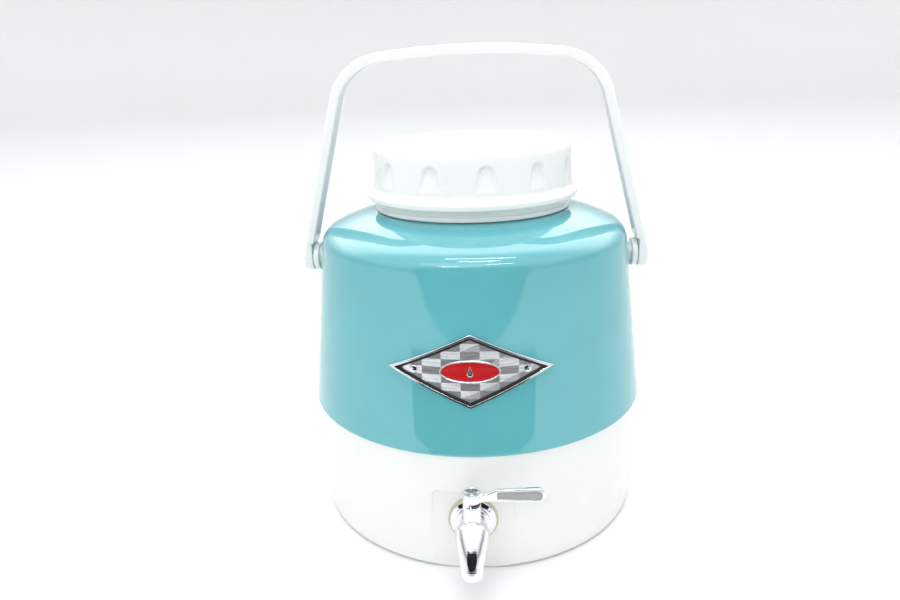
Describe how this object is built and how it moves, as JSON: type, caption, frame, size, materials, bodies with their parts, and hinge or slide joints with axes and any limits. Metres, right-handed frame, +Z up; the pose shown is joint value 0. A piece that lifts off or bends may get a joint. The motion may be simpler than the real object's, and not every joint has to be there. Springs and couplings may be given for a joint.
{
  "type": "beverage dispenser",
  "caption": "Round insulated drinks jug with a tapered steel shell over a plastic base, screw lid, swinging bail handle and a quarter-turn lever tap near the foot.",
  "frame": {"origin": "centre of the foot, on the surface that the jug stands on", "axes": "+Z up the jug's axis; the tap points along -Y; the handle's pivot axis is along X"},
  "size_m": [0.2406, 0.2719, 0.3169],
  "materials": {
    "turquoise_paint": "gloss enamel on sheet steel",
    "white_plastic": "gloss, moulded",
    "liner_plastic": "satin, food grade",
    "foam": "rough closed-cell foam",
    "ivory_rubber": "smooth, slightly yellowed",
    "black_rubber": "matte",
    "clear_silicone": "soft satin",
    "chrome": "polished plating",
    "steel": "bright zinc and stainless",
    "badge_metal": "brushed, engine-turned facets",
    "black_enamel": "gloss enamel",
    "red_enamel": "gloss enamel",
    "lever_inlay": "satin grey"
  },
  "bodies": {
    "jug": {"base_tub": "white_plastic", "base_plug": "white_plastic", "belt_shell": "turquoise_paint", "inner_liner": "liner_plastic", "insulation_foam": "foam", "neck_collar": "white_plastic", "pivot_base_left": "white_plastic", "pivot_base_right": "white_plastic", "pivot_screw_left": "steel", "pivot_screw_right": "steel", "pivot_plate_left": "steel", "pivot_plate_right": "steel", "badge_plate": "badge_metal", "badge_frame": "chrome", "badge_border": "black_enamel", "emblem_rim": "chrome", "emblem_face": "red_enamel", "emblem_drop": "chrome", "badge_rivet_left": "chrome", "badge_rivet_right": "chrome", "tap_washer_outer": "ivory_rubber", "tap_escutcheon": "chrome", "tap_body": "chrome", "tap_sleeve": "white_plastic", "tap_washer_inner": "black_rubber", "tap_nut": "steel"},
    "lever": {"tap_plug": "steel", "plug_ring_upper": "black_rubber", "plug_ring_lower": "black_rubber", "tap_lever": "chrome", "lever_insert": "lever_inlay", "lever_screw": "steel"},
    "seal": {"lid_gasket": "clear_silicone"},
    "lid": {"lid_shell": "white_plastic", "lid_inner": "white_plastic", "lid_foam": "foam"},
    "bail": {"handle": "white_plastic"}
  },
  "joints": [
    {"name": "handle_swing", "type": "hinge", "parent": "jug", "child": "bail", "pos_m": [0, 0, 0.177], "axis": [1, 0, 0], "range_deg": [-113, 113]},
    {"name": "lever_turn", "type": "hinge", "parent": "jug", "child": "lever", "pos_m": [0, -0.1295, 0.0589], "axis": [0, 0, 1], "range_deg": [-90, 0]},
    {"name": "lid_rise", "type": "slide", "parent": "jug", "child": "seal", "axis": [0, 0, 1], "range_m": [0, 0.0301]},
    {"name": "lid_turn", "type": "hinge", "parent": "seal", "child": "lid", "pos_m": [0, 0, 0.24], "axis": [0, 0, 1], "range_deg": [0, 900]}
  ],
  "couplings": [
    {"joint": "lid_rise", "follows": "lid_turn", "m_per_rad": 0.0019099}
  ]
}
